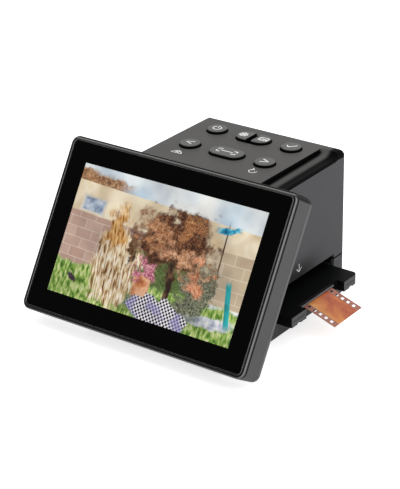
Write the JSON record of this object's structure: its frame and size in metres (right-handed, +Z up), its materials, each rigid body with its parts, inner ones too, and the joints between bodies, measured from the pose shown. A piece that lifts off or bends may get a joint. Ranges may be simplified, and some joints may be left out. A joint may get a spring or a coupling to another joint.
{
  "type": "film negative scanner",
  "caption": "Desktop film scanner: wedge case with buttons on top, hinged picture display on its slanted front, and a sliding film tray in a side slot.",
  "frame": {"origin": "on the surface that the feet stand on, under the middle of the whole object's box", "axes": "+Z up, +X to the right seen from the display, towards the side that the tray comes out of, +Y to the back"},
  "size_m": [0.1988, 0.1644, 0.1202],
  "materials": {
    "case_plastic": "fine moulded texture, dark grey ABS",
    "panel_plastic": "fine moulded texture, dark grey ABS",
    "button_plastic": "satin moulded ABS with printed white symbols",
    "display_plastic": "satin moulded ABS",
    "rim_plastic": "polished moulded ABS",
    "cover_glass": "glossy glass, printed black on its back",
    "lcd": null,
    "lamp_unit": "white light guide in a thin frame",
    "circuit_board": "green solder mask on glass fibre board",
    "white_board": "white solder mask on an LED board",
    "chip": "moulded black epoxy",
    "steel": "plated steel",
    "rubber": "soft moulded rubber",
    "tray_plastic": "fine moulded texture, black ABS",
    "inner_plastic": "matt black moulded ABS that swallows stray light",
    "gate_plastic": "light grey moulded plastic",
    "film": "developed colour negative on an orange base",
    "lens_glass": "coated optical glass",
    "ribbon": "flat flexible cable, amber polyimide",
    "magnet": "nickel plated magnet",
    "white_plastic": "white reflecting plastic",
    "opal_plastic": "opal light spreading sheet",
    "led": "white LED with a yellow phosphor"
  },
  "bodies": {
    "case": {"upper_housing": "case_plastic", "base_housing": "case_plastic", "control_panel": "panel_plastic", "rubber_feet": "rubber", "case_screws": "steel", "tray_guide": "inner_plastic", "side_springs": "steel", "optics_bridge": "inner_plastic", "light_hood": "inner_plastic", "lens_holder": "inner_plastic", "lens_barrel": "inner_plastic", "lens_glasses": "lens_glass", "image_sensor": "chip", "sensor_board": "circuit_board", "sensor_ribbon": "ribbon", "backlight_board": "white_board", "backlight_leds": "led", "light_reflector": "white_plastic", "light_diffuser": "opal_plastic", "main_board": "circuit_board", "push_switches": "chip", "processor_chips": "chip", "usb_socket": "steel", "video_socket": "steel", "card_slot": "steel", "inner_screws": "steel", "hinge_brackets": "steel", "hinge_pins": "steel", "case_ribbon": "ribbon", "display_bumpers": "rubber"},
    "display": {"display_rim": "rim_plastic", "display_housing": "display_plastic", "display_back": "display_plastic", "cover_glass": "cover_glass", "picture_panel": "lcd", "panel_lamp_unit": "lamp_unit", "display_board": "circuit_board", "display_chips": "chip", "display_screws": "steel", "display_ribbon": "ribbon"},
    "tray": {"film_tray": "tray_plastic", "tray_cover": "tray_plastic", "film_gate": "gate_plastic", "tray_magnets": "magnet"},
    "film": {"film_strip": "film"},
    "power_key": {"power_button": "button_plastic"},
    "menu_key": {"menu_button": "button_plastic"},
    "gallery_key": {"gallery_button": "button_plastic"},
    "ok_key": {"ok_button": "button_plastic"},
    "previous_key": {"previous_button": "button_plastic"},
    "scan_key": {"scan_button": "button_plastic"},
    "next_key": {"next_button": "button_plastic"}
  },
  "joints": [
    {"name": "display_tilt", "type": "hinge", "parent": "case", "child": "display", "pos_m": [-0.00592, -0.00336, 0.10842], "axis": [-1, 0, 0], "range_deg": [0, 40]},
    {"name": "tray_slide", "type": "slide", "parent": "case", "child": "tray", "axis": [1, 0, 0], "range_m": [0, 0.07]},
    {"name": "film_feed", "type": "slide", "parent": "tray", "child": "film", "axis": [1, 0, 0], "range_m": [0, 0.038]},
    {"name": "power_press", "type": "slide", "parent": "case", "child": "power_key", "axis": [0, 0, -1], "range_m": [0, 0.0005], "stiffness_N_per_m": 1000, "springref_m": -0.001},
    {"name": "menu_press", "type": "slide", "parent": "case", "child": "menu_key", "axis": [0, 0, -1], "range_m": [0, 0.0005], "stiffness_N_per_m": 1000, "springref_m": -0.001},
    {"name": "gallery_press", "type": "slide", "parent": "case", "child": "gallery_key", "axis": [0, 0, -1], "range_m": [0, 0.0005], "stiffness_N_per_m": 1000, "springref_m": -0.001},
    {"name": "ok_press", "type": "slide", "parent": "case", "child": "ok_key", "axis": [0, 0, -1], "range_m": [0, 0.0005], "stiffness_N_per_m": 1000, "springref_m": -0.001},
    {"name": "previous_press", "type": "slide", "parent": "case", "child": "previous_key", "axis": [0, 0, -1], "range_m": [0, 0.0005], "stiffness_N_per_m": 1000, "springref_m": -0.001},
    {"name": "scan_press", "type": "slide", "parent": "case", "child": "scan_key", "axis": [0, 0, -1], "range_m": [0, 0.0005], "stiffness_N_per_m": 1000, "springref_m": -0.001},
    {"name": "next_press", "type": "slide", "parent": "case", "child": "next_key", "axis": [0, 0, -1], "range_m": [0, 0.0005], "stiffness_N_per_m": 1000, "springref_m": -0.001}
  ]
}
